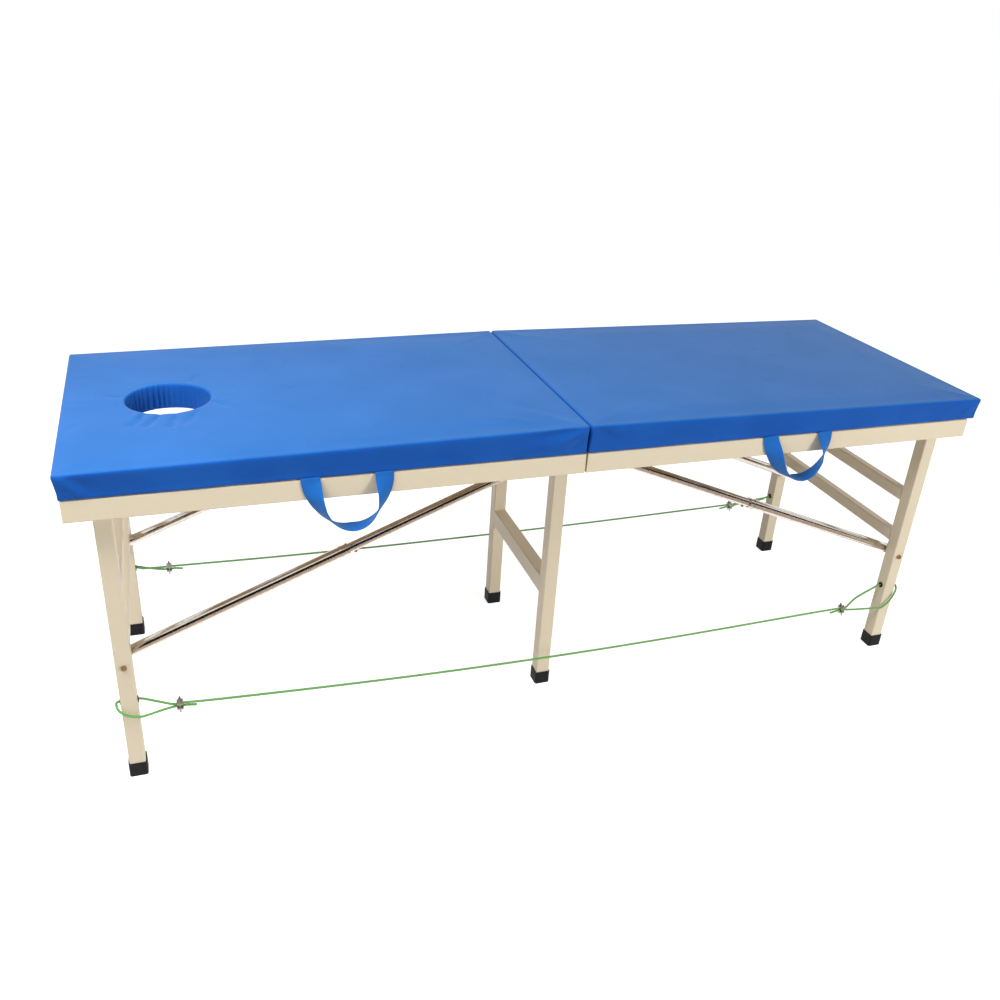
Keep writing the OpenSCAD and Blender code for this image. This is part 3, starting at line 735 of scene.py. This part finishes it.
def padForm(values, half):
    sign = -1 if half == "left" else 1
    middle = sign * (values["length"] + values["seamGap"]) / 2
    bm = bmesh.new()
    bmesh.ops.create_cube(bm, size=1)
    bmesh.ops.scale(bm, vec=(
        values["length"], values["width"], values["top"] - values["bottom"]
    ), verts=bm.verts)
    bmesh.ops.translate(
        bm, vec=(middle, 0, (values["top"] + values["bottom"]) / 2), verts=bm.verts
    )
    upright = [e for e in bm.edges if abs(e.verts[0].co.z - e.verts[1].co.z) > 0.01]
    bmesh.ops.bevel(bm, geom=upright, offset=values["cornerRadius"], segments=5, profile=0.5,
                    affect="EDGES", material=-1)
    block = bpy.data.objects.new("padBlock", meshOf(bm, "padBlock"))
    scene.collection.objects.link(block)
    if half == "left":
        bm = bmesh.new()
        bmesh.ops.create_cone(bm, segments=96, cap_ends=True, radius1=values["holeRadius"],
                              radius2=values["holeRadius"], depth=0.2)
        bmesh.ops.translate(bm, vec=(values["holeX"], 0, values["top"]), verts=bm.verts)
        punch = bpy.data.objects.new("padPunch", meshOf(bm, "padPunch"))
        scene.collection.objects.link(punch)
        cut = block.modifiers.new("cut", "BOOLEAN")
        cut.object, cut.operation, cut.solver = punch, "DIFFERENCE", "EXACT"
    remesh = block.modifiers.new("remesh", "REMESH")
    remesh.mode, remesh.voxel_size = "VOXEL", values["voxel"]
    bpy.context.view_layer.update()
    mesh = bpy.data.meshes.new_from_object(
        block.evaluated_get(bpy.context.evaluated_depsgraph_get())
    )
    for helper in [o for o in scene.objects if o.name in ("padBlock", "padPunch")]:
        bpy.data.objects.remove(helper)
    return mesh, middle


def settle(piece, values, cloths):
    # How far each point moves in cloth under pressure, with the underside and the hole's wall held
    start = [v.co.copy() for v in piece.data.vertices]
    held = piece.vertex_groups.new(name="held")
    for i, p in enumerate(start):
        reach = values["holeRadius"] + cloths["wallReach"]
        inHole = math.hypot(p.x - values["holeX"], p.y) < reach
        atWall = inHole and p.z < values["top"] - cloths["freeDepth"]
        if atWall or p.z < values["bottom"] + cloths["heldHeight"]:
            held.add([i], 1, "REPLACE")
    cloth = piece.modifiers.new("cloth", "CLOTH")
    cloth.settings.use_pressure = True
    cloth.settings.uniform_pressure_force = cloths["pressure"]
    cloth.settings.effector_weights.gravity = 0
    cloth.settings.vertex_group_mass = "held"
    cloth.settings.quality = cloths["quality"]
    cloth.settings.tension_stiffness = cloths["tension"]
    cloth.settings.bending_stiffness = cloths["bending"]
    cloth.collision_settings.use_collision = False
    for i in range(cloths["frames"]):
        scene.frame_set(i + 1)
    swollen = bpy.data.meshes.new_from_object(
        piece.evaluated_get(bpy.context.evaluated_depsgraph_get())
    )
    moves = [v.co - a for v, a in zip(swollen.vertices, start)]
    bpy.data.meshes.remove(swollen)
    piece.modifiers.clear()
    scene.frame_set(1)
    return moves


# Soft ridges and hollows: from, to, width, and size, which is negative for a hollow
topFolds = {
    "left": [
        ((-0.030, -0.292), (-0.190, -0.215), 0.010, 0.8),
        ((-0.010, -0.262), (-0.130, -0.150), 0.012, -0.6),
        ((-0.060, -0.296), (-0.260, -0.255), 0.009, -0.5),
        ((-0.010, 0.270), (-0.150, 0.190), 0.012, 0.6),
        ((-0.900, 0.280), (-0.830, 0.190), 0.012, 0.4),
    ],
    "right": [
        ((0.020, -0.290), (0.160, -0.200), 0.010, 0.8),
        ((0.040, -0.296), (0.240, -0.262), 0.009, -0.7),
        ((0.905, -0.285), (0.820, -0.190), 0.011, 0.6),
        ((0.015, 0.275), (0.150, 0.195), 0.012, 0.6),
        ((0.905, 0.285), (0.820, 0.200), 0.012, 0.4),
    ],
}
holeFolds = [
    ((-0.778, -0.066), (-0.822, -0.160), 0.0055, -1.0),
    ((-0.752, -0.074), (-0.790, -0.154), 0.0050, -1.0),
    ((-0.725, -0.076), (-0.747, -0.186), 0.0055, -1.0),
    ((-0.688, -0.070), (-0.716, -0.139), 0.0050, -0.8),
    ((-0.790, -0.060), (-0.803, -0.118), 0.0050, 0.6),
    ((-0.662, -0.030), (-0.628, -0.070), 0.0060, -0.5),
    ((-0.816, 0.020), (-0.860, 0.035), 0.0060, -0.5),
    ((-0.700, 0.072), (-0.680, 0.115), 0.0060, -0.4),
]
sideFolds = {  # along the table and up, on the near and the far side
    "left": [
        ((-0.004, 0.6660), (-0.092, 0.6330), 0.0070, 1.0),
        ((-0.020, 0.6700), (-0.125, 0.6610), 0.0065, -1.0),
        ((-0.008, 0.6520), (-0.040, 0.6260), 0.0060, -0.9),
        ((-0.075, 0.6500), (-0.160, 0.6330), 0.0075, 0.6),
        ((-0.918, 0.6610), (-0.880, 0.6260), 0.0070, 1.1),
        ((-0.900, 0.6600), (-0.862, 0.6300), 0.0080, -0.7),
    ],
    "right": [
        ((0.062, 0.6700), (0.050, 0.6500), 0.0040, 0.9),
        ((0.074, 0.6690), (0.064, 0.6480), 0.0040, 0.8),
        ((0.087, 0.6680), (0.078, 0.6500), 0.0042, 0.7),
        ((0.012, 0.6680), (0.060, 0.6420), 0.0070, -1.0),
        ((0.100, 0.6600), (0.200, 0.6350), 0.0080, 0.5),
        ((0.916, 0.6600), (0.880, 0.6280), 0.0080, 0.6),
    ],
}


foldValues = {"top": 0.0009, "hole": 0.0048, "side": 0.0042}
unevenValues = {"top": 0.0006, "side": 0.0011}


def foldLine(x, y, a, b, width):  # a soft ridge from a to b, fading at its ends
    way = Vector((b[0] - a[0], b[1] - a[1]))
    t = ((x - a[0]) * way.x + (y - a[1]) * way.y) / way.length_squared
    if not 0 < t < 1:
        return 0
    off = ((x - a[0]) * way.y - (y - a[1]) * way.x) / way.length
    return math.exp(-(off / width) ** 2) * math.sin(math.pi * t) ** 0.7


gatherValues = {
    "radius": 0.0760,
    "pleats": 46,
    "depth": 0.0047,
    "waver": 4.5,
    "drift": 14,
    "deepestAt": 146,
    "faintest": 0.16,
    "atRim": 0.25,
    "raggedness": 0.012,
    "sharpness": 1.6,
}


def gather(values, angle, depth):  # how far the hole's wall stands back, in its pleats
    spot = Vector((math.cos(angle) * 2.2, math.sin(angle) * 2.2, 0))
    turn = (angle * values["pleats"] + values["waver"] * noise.noise(spot)
            + values["drift"] * depth * noise.noise(spot * 3))
    faintest, atRim = values["faintest"], values["atRim"]
    facing = soft(math.cos(angle - math.radians(values["deepestAt"])), 0.35, 0.8)
    strong = faintest + (1 - faintest) * facing
    reach = noise.noise(spot * 4 + Vector((0, 0, 5))) * values["raggedness"]
    share = strong * (atRim + (1 - atRim) * soft(depth, 0.004 + reach, 0.030 + reach))
    return values["depth"] * share * (0.5 + 0.5 * math.cos(turn)) ** values["sharpness"]


def padPoint(values, half, middle, start, move):
    p = start.copy()
    inset, out = fromOutline(values, p, middle)
    inset = max(inset, 0)
    fromHole = math.hypot(p.x - values["holeX"], p.y) - values["holeRadius"]
    nearHole = half == "left" and fromHole < values["holeReach"]
    drop = values["top"] - p.z
    # The cloth's swelling, held back at the edges
    inwards = min(1, inset / values["swellReach"])
    most = values["swellSide"] + (values["swellTop"] - values["swellSide"]) * inwards
    if nearHole:
        far = soft(fromHole, *values["holeHeld"])
        up = values["holeLift"] * (1 - far)
        move = Vector((move.x * far, move.y * far, move.z * far + up))
    if move.length > most:
        move = move * (most / move.length)
    lift = soft(values["drawHeight"] - drop, 0, values["drawHeight"])
    # The rounded edge round the top
    if inset + drop < values["edgeReach"]:
        held = soft(abs(inset - drop), *values["edgeHeld"])
        toSeam = soft(-out.x * math.copysign(1, middle), 0.2, 0.8)
        radius = values["edgeRadius"] + (values["seamRadius"] - values["edgeRadius"]) * toSeam
        newInset, newDrop = rollOver(inset - drop, radius)
        p += out * (inset - newInset)
        p.z = values["top"] - newDrop
        move = Vector((move.x * held, move.y * held, move.z * (0.35 + 0.65 * held)))
    # The rim and the gathered wall of the face hole
    if nearHole and fromHole < values["rimReach"]:
        radius = gatherValues["radius"]
        inward, fall = rollOver(max(fromHole, 0) - drop, values["holeRoll"])
        angle = math.atan2(p.y, p.x - values["holeX"])
        outside = soft(fromHole, 0.008, values["rimReach"])
        wide = radius + inward + (values["holeRadius"] - radius) * outside
        if fromHole < 0.012:
            wide += gather(gatherValues, angle, fall) * soft(fall, 0, 0.004)
        p.x = values["holeX"] + math.cos(angle) * wide
        p.y = math.sin(angle) * wide
        p.z = values["top"] - fall
        move = Vector((0, 0, move.z if drop < 0.003 else values["holeLift"] * lift))
    p += move
    # The rise towards the seam, unevenness and folds
    p.z += values["seamRise"] * (1 - abs(start.x) / values["length"]) * lift
    p.z += unevenValues["top"] * min(1, inset / 0.05) * lift * noise.noise(
        Vector((start.x * 7, start.y * 7, 3 if half == "left" else 9))
    )
    if drop < 0.004:
        for a, b, width, size in topFolds[half]:
            p.z += foldValues["top"] * size * foldLine(start.x, start.y, a, b, width)
    if nearHole:
        for a, b, width, size in holeFolds:
            p.z += foldValues["hole"] * size * soft(fromHole, -0.012, 0.004) * foldLine(
                p.x, p.y, a, b, width
            )
    if inset < 0.012 and drop > 0.004:
        p += out * unevenValues["side"] * soft(drop, 0.004, 0.02) * noise.noise(
            Vector((start.x * 13 + start.y * 9, start.y * 4, start.z * 22))
        )
    if inset < 0.012 and abs(out.y) > 0.7 and drop < 0.045:
        for a, b, width, size in sideFolds[half]:
            p += out * foldValues["side"] * size * foldLine(start.x, p.z, a, b, width)
    # The sides drawn in towards the frame
    low = 1 - soft(p.z - values["bottom"], 0, values["drawHeight"])
    atEnd = abs(start.x) > 0.5 and abs(out.x) > 0.3
    draw = values["endDraw"][half] if atEnd else values["sideDraw"] * abs(out.y)
    p -= out * draw * low * (1 - soft(inset, 0, 0.03))
    if start.z < values["bottom"] + 0.001:
        hem = values["hemLift"] * (1 - soft(inset, 0, 0.007)) * abs(out.y)
        p.z = values["boardZ"] if inset > values["boardInset"] else values["bottom"] + hem
    return p


def finer(bm, values, wanted):
    edges = [e for e in bm.edges if all(
        v.co.z > values["bottom"] + 0.002 and wanted(v.co) for v in e.verts
    )]
    bmesh.ops.subdivide_edges(bm, edges=edges, cuts=1, use_grid_fill=True)


def makePad(values, half):
    mesh, middle = padForm(values, half)
    piece = addPiece(f"{half}_pad", mesh, blueVinyl)
    moves = settle(piece, values, clothValues)
    bm = bmesh.new()
    bm.from_mesh(mesh)
    layer = bm.verts.layers.float_vector.new("move")
    for v, move in zip(bm.verts, moves):
        v[layer] = move
    finer(bm, values, lambda p: p.z > values["top"] - values["rimWidth"]
          and fromOutline(values, p, middle)[0] < values["rimWidth"])
    if half == "left":
        for reach in values["finerHole"]:
            finer(bm, values, lambda p: math.hypot(p.x - values["holeX"], p.y) < reach)
    places = [padPoint(values, half, middle, v.co, v[layer]) for v in bm.verts]
    for v, place in zip(bm.verts, places):
        v.co = place
    bm.verts.layers.float_vector.remove(layer)
    bm.to_mesh(mesh)
    bm.free()
    mesh.shade_smooth()
    rounder = piece.modifiers.new("rounder", "SUBSURF")
    rounder.levels = rounder.render_levels = 1
    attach(piece, f"{half}_half")
    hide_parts(f"{half}_cover", f"{half}_foam",
                *(["face_hole_lining"] if half == "left" else []))
    print(piece.name, "made with", len(mesh.polygons), "faces")


for half in ("left", "right"):
    makePad(padValues, half)


# The carrying straps: stiff webbing that leaves the rail, twists on each side and lies level
# at the bottom of its loop
strapValues = {
    "left": {"middle": -0.456, "skew": 0.007, "lean": 0.004, "drop": 0.099},
    "right": {"middle": 0.469, "skew": 0.014, "lean": 0.005, "drop": 0.096},
    "pitch": 0.130,
    "width": 0.034,
    "thickness": 0.0026,
    "squareness": (0.45, 0.55),
    "edgeBulge": 0.25,
    "spread": 0.86,
    "top": 0.6215,
    "faceY": 0.2954,
    "turns": [(0, 0), (5, 3), (10, 12), (22, 38), (38, 60), (62, 76), (90, 90)],
    "steps": 120,
    "sides": 24,
    "bend": (0.001, 0.009),
}


def strapTurn(values, angle):
    angle = min(angle, 180 - angle)
    for (a, low), (b, high) in zip(values["turns"], values["turns"][1:]):
        if angle <= b:
            return math.radians(low + (high - low) * (angle - a) / (b - a))
    return math.radians(90)


def strapCentre(values, one, degrees):
    angle = math.radians(degrees)
    turn, deep = strapTurn(values, degrees), math.sin(angle)
    clear = values["width"] / 2 * math.sin(turn) * (1 - 0.7 * soft(deep, 0.3, 1))
    aside = math.copysign(abs(math.cos(angle)) ** values["spread"], math.cos(angle))
    return Vector((
        one["middle"] - values["pitch"] / 2 * aside + one["skew"] * deep ** 1.2,
        -clear - one["lean"] * deep - values["faceY"],
        values["top"] - one["drop"] * deep,
    ))


def makeStrap(values, half):
    one, sides, outline = values[half], values["sides"], []
    wide, thick, bulge = values["width"] / 2, values["thickness"] / 2, values["edgeBulge"]
    for k in range(sides):  # flat, with rounded and slightly thicker edges
        angle = 2 * math.pi * k / sides
        u, w = (
            math.copysign(abs(side) ** power, side)
            for side, power in zip((math.cos(angle), math.sin(angle)), values["squareness"])
        )
        outline.append((u * wide, w * thick * (1 + bulge * abs(u) ** 6)))
    rings, alongs, along, last = [], [], 0, None
    for i in range(values["steps"] + 1):
        degrees = 180 * i / values["steps"]
        centre = strapCentre(values, one, degrees)
        turn = strapTurn(values, degrees)
        way = (strapCentre(values, one, min(180, degrees + 1))
               - strapCentre(values, one, max(0, degrees - 1)))
        way.y = 0
        way.normalize()
        outward = Vector((way.z, 0, -way.x))
        face = Vector((0, -math.cos(turn), 0)) + outward * math.sin(turn)
        across = way.cross(face)
        if last:
            along += (centre - last).length
        last = centre
        rings.append([centre + across * u + face * w for u, w in outline])
        alongs.append(along)
    arounds = [outline[k % sides][0] for k in range(sides + 1)]
    piece = addPiece(f"{half}_strap", sweep(f"{half}_strap", rings, alongs, arounds), strapWeb)
    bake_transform(piece)
    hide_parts(f"{half}_handle")


for half in ("left", "right"):
    makeStrap(strapValues, half)
print("straps made")


# Floor, backdrop and lamps
studioValues = {"floorSize": 25, "ambient": 0.28, "floor": 0.68, "glow": 0.81}
cardValues = {
    "frontCard": {
        "centre": (0, -3.6, 1.9), "size": (14, 3.6), "turn": 90, "colour": (0.05, 0.036, 0.026),
    },
    "darkCard": {
        "centre": (0, -2.3, 0.003), "size": (6, 1.4), "turn": 0, "colour": (0.12, 0.085, 0.06),
    },
    "tanCard": {
        "centre": (0, -0.95, 0.004), "size": (5, 1.1), "turn": 0, "colour": (0.56, 0.43, 0.34),
    },
}
lampValues = {
    "keyLamp": {
        "place": (-2.4, -3.1, 1.7), "target": (0, -0.2, 0.45), "size": 0.9, "power": 8,
    },
    "fillLamp": {
        "place": (2.6, -3.0, 1.3), "target": (0.3, -0.2, 0.40), "size": 1.2, "power": 78,
    },
    "topLamp": {
        "place": (-1.25, -0.55, 2.00), "target": (-0.4, -0.1, 0.6), "size": 1.2, "power": 38,
    },
    "rightLamp": {
        "place": (0.9, 0.1, 2.4), "target": (0.5, 0, 0.6), "size": 1.6, "power": 6,
    },
}


def makeFloor(values):
    bm = bmesh.new()
    bmesh.ops.create_grid(bm, x_segments=2, y_segments=2, size=values["floorSize"])
    f = Finish("studioFloor", {"Base Color": (*[values["floor"]] * 3, 1), "Roughness": 0.9,
                               "Specular IOR Level": 0.0})
    path = f.tree.nodes.new("ShaderNodeLightPath")
    seen = f.math("MAXIMUM", f.math("MAXIMUM", Value(f, path.outputs["Is Camera Ray"]),
                                    Value(f, path.outputs["Is Glossy Ray"])),
                  Value(f, path.outputs["Is Transmission Ray"]))
    f.shader.inputs["Emission Color"].default_value = (1, 1, 1, 1)
    f.feed(f.shader.inputs["Emission Strength"], seen * values["glow"])
    floor = addPiece("studioFloor", meshOf(bm, "studioFloor"), f.material, False)


def makeWorld(values):
    world = bpy.data.worlds.new("studioLight")
    world.use_nodes = True
    scene.world = world
    tree = world.node_tree
    background = tree.nodes["Background"]
    background.inputs["Color"].default_value = (1, 1, 1, 1)
    path = tree.nodes.new("ShaderNodeLightPath")
    last = path.outputs["Is Camera Ray"]
    for name in ("Is Glossy Ray", "Is Transmission Ray"):
        most = tree.nodes.new("ShaderNodeMath")
        most.operation = "MAXIMUM"
        tree.links.new(last, most.inputs[0])
        tree.links.new(path.outputs[name], most.inputs[1])
        last = most.outputs[0]
    strength = tree.nodes.new("ShaderNodeMapRange")
    strength.inputs["To Min"].default_value = values["ambient"]
    strength.inputs["To Max"].default_value = 1.0
    tree.links.new(last, strength.inputs["Value"])
    tree.links.new(strength.outputs["Result"], background.inputs["Strength"])


def makeLamp(name, place, target, size, power):
    data = bpy.data.lights.new(name, "AREA")
    data.shape, data.size, data.energy = "DISK", size, power
    lamp = bpy.data.objects.new(name, data)
    scene.collection.objects.link(lamp)
    lamp.visible_camera = lamp.visible_glossy = False
    lamp.location = place
    lamp.rotation_mode = "QUATERNION"
    lamp.rotation_quaternion = (Vector(target) - Vector(place)).to_track_quat("-Z", "Y")


def makeCard(name, centre, size, turn, colour):  # a card that only shows in reflections
    bm = bmesh.new()
    bmesh.ops.create_grid(bm, x_segments=1, y_segments=1, size=0.5)
    bmesh.ops.scale(bm, vec=(size[0], size[1], 1), verts=bm.verts)
    bmesh.ops.rotate(bm, matrix=Matrix.Rotation(math.radians(turn), 3, "X"), verts=bm.verts)
    bmesh.ops.translate(bm, vec=centre, verts=bm.verts)
    f = Finish(name, {"Base Color": (*colour, 1), "Roughness": 1, "Specular IOR Level": 0})
    card = addPiece(name, meshOf(bm, name), f.material, False)
    card.visible_camera = card.visible_diffuse = card.visible_shadow = False


makeFloor(studioValues)
makeWorld(studioValues)
for name, card in cardValues.items():
    makeCard(name, **card)
for name, lamp in lampValues.items():
    makeLamp(name, **lamp)
print("studio made")
